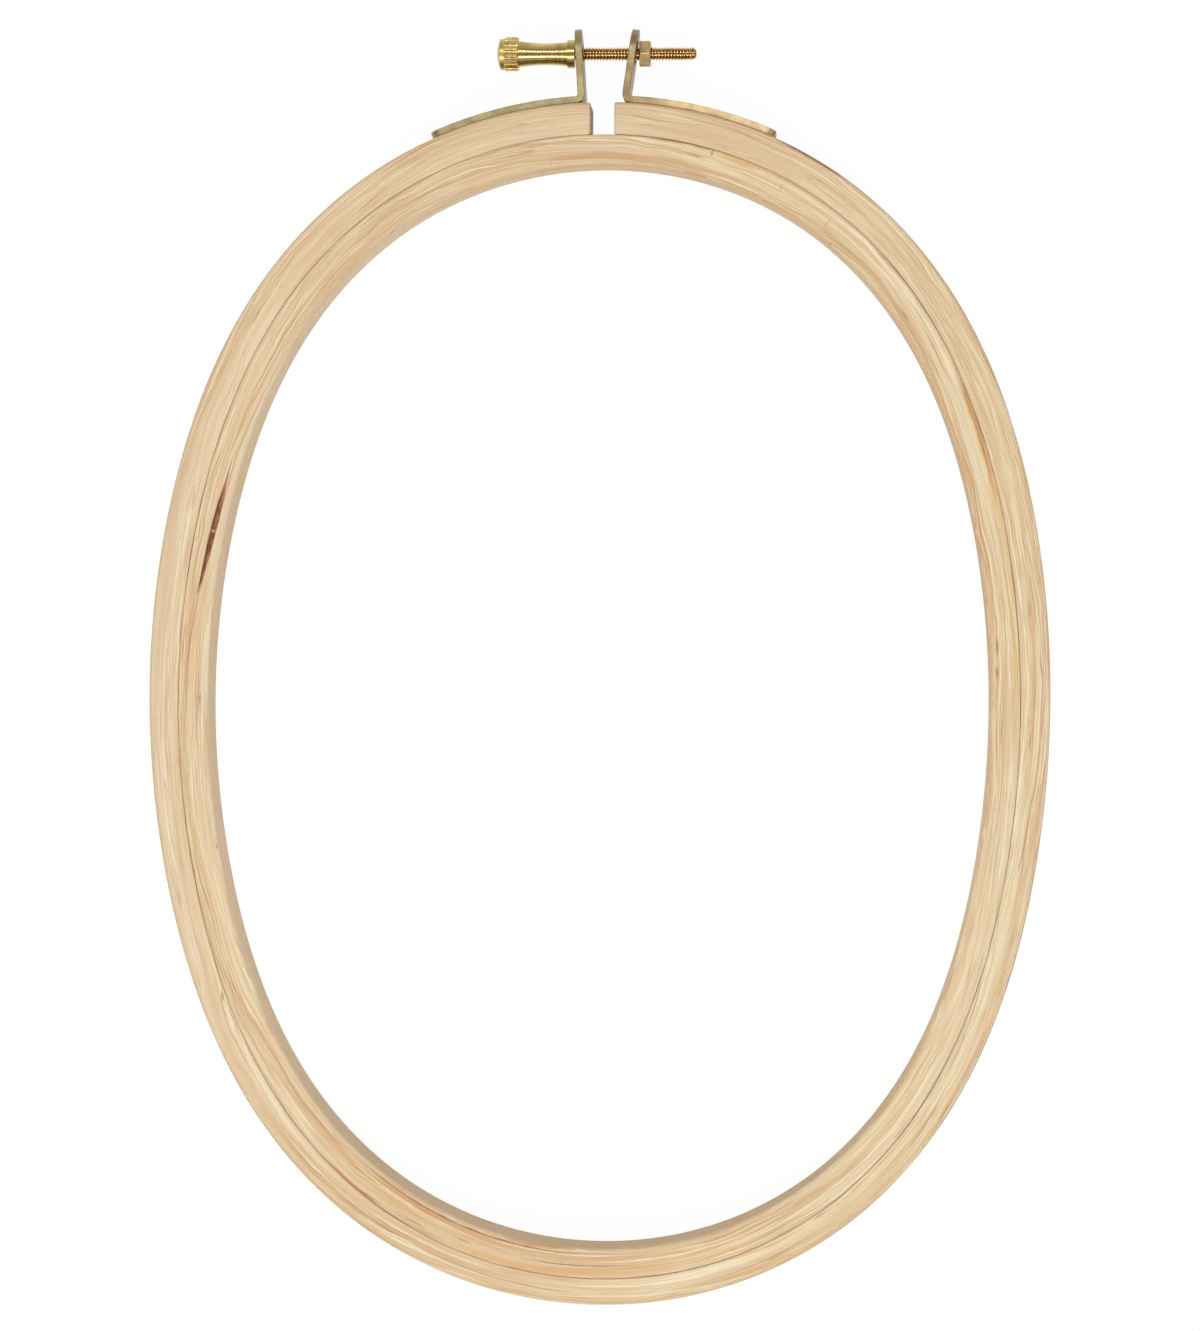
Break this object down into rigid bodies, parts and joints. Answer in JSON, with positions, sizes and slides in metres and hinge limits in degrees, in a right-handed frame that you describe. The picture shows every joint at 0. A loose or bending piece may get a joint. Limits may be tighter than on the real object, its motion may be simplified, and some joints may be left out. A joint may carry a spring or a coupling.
{
  "type": "oval wooden embroidery hoop",
  "caption": "Oval wooden embroidery hoop: a closed inner ring inside a split outer ring, which a brass screw with a spool-shaped thumb knob opens and closes.",
  "frame": {"origin": "centre of the oval rings, on the plane of their back faces", "axes": "+Z is the axis of the rings, out of the front face; +Y points from the centre to the screw clamp; +X is right as seen from the front, towards the rod's free end"},
  "size_m": [0.2286, 0.3242, 0.016],
  "materials": {
    "inner_wood": "bare sanded pale hardwood",
    "outer_wood": "bare sanded pale hardwood, slightly darker",
    "strip_brass": "dull brass-plated steel strip",
    "brad_brass": "dull brass-plated steel",
    "knob_brass": "turned brass, semi-polished",
    "rod_brass": "bright cut thread",
    "nut_brass": "dull brass"
  },
  "bodies": {
    "outer_left": {"outer_ring_left": "outer_wood", "left_bracket": "strip_brass", "left_bracket_brads": "brad_brass"},
    "outer_right": {"outer_ring_right": "outer_wood", "right_bracket": "strip_brass", "right_bracket_brads": "brad_brass"},
    "thumb_screw": {"thumb_knob": "knob_brass", "threaded_rod": "rod_brass"},
    "nut": {"hex_nut": "nut_brass"},
    "inner": {"inner_ring": "inner_wood"}
  },
  "joints": [
    {"name": "screw_turn", "type": "hinge", "parent": "outer_left", "child": "thumb_screw", "pos_m": [0, 0.1652, 0.008], "axis": [-1, 0, 0], "range_deg": [0, 4762]},
    {"name": "ring_spread", "type": "hinge", "parent": "outer_left", "child": "outer_right", "pos_m": [0, -0.1527, 0.008], "axis": [0, 0, -1], "range_deg": [0, 1.89]},
    {"name": "nut_travel", "type": "slide", "parent": "outer_left", "child": "nut", "axis": [1, 0, 0], "range_m": [0, 0.01052]},
    {"name": "inner_ring_lift", "type": "slide", "parent": "outer_left", "child": "inner", "axis": [0, 0, 1], "range_m": [0, 0.03]}
  ],
  "couplings": [
    {"joint": "screw_turn", "follows": "ring_spread", "ratio": 2515.6},
    {"joint": "nut_travel", "follows": "ring_spread", "m_per_rad": 0.3179}
  ]
}
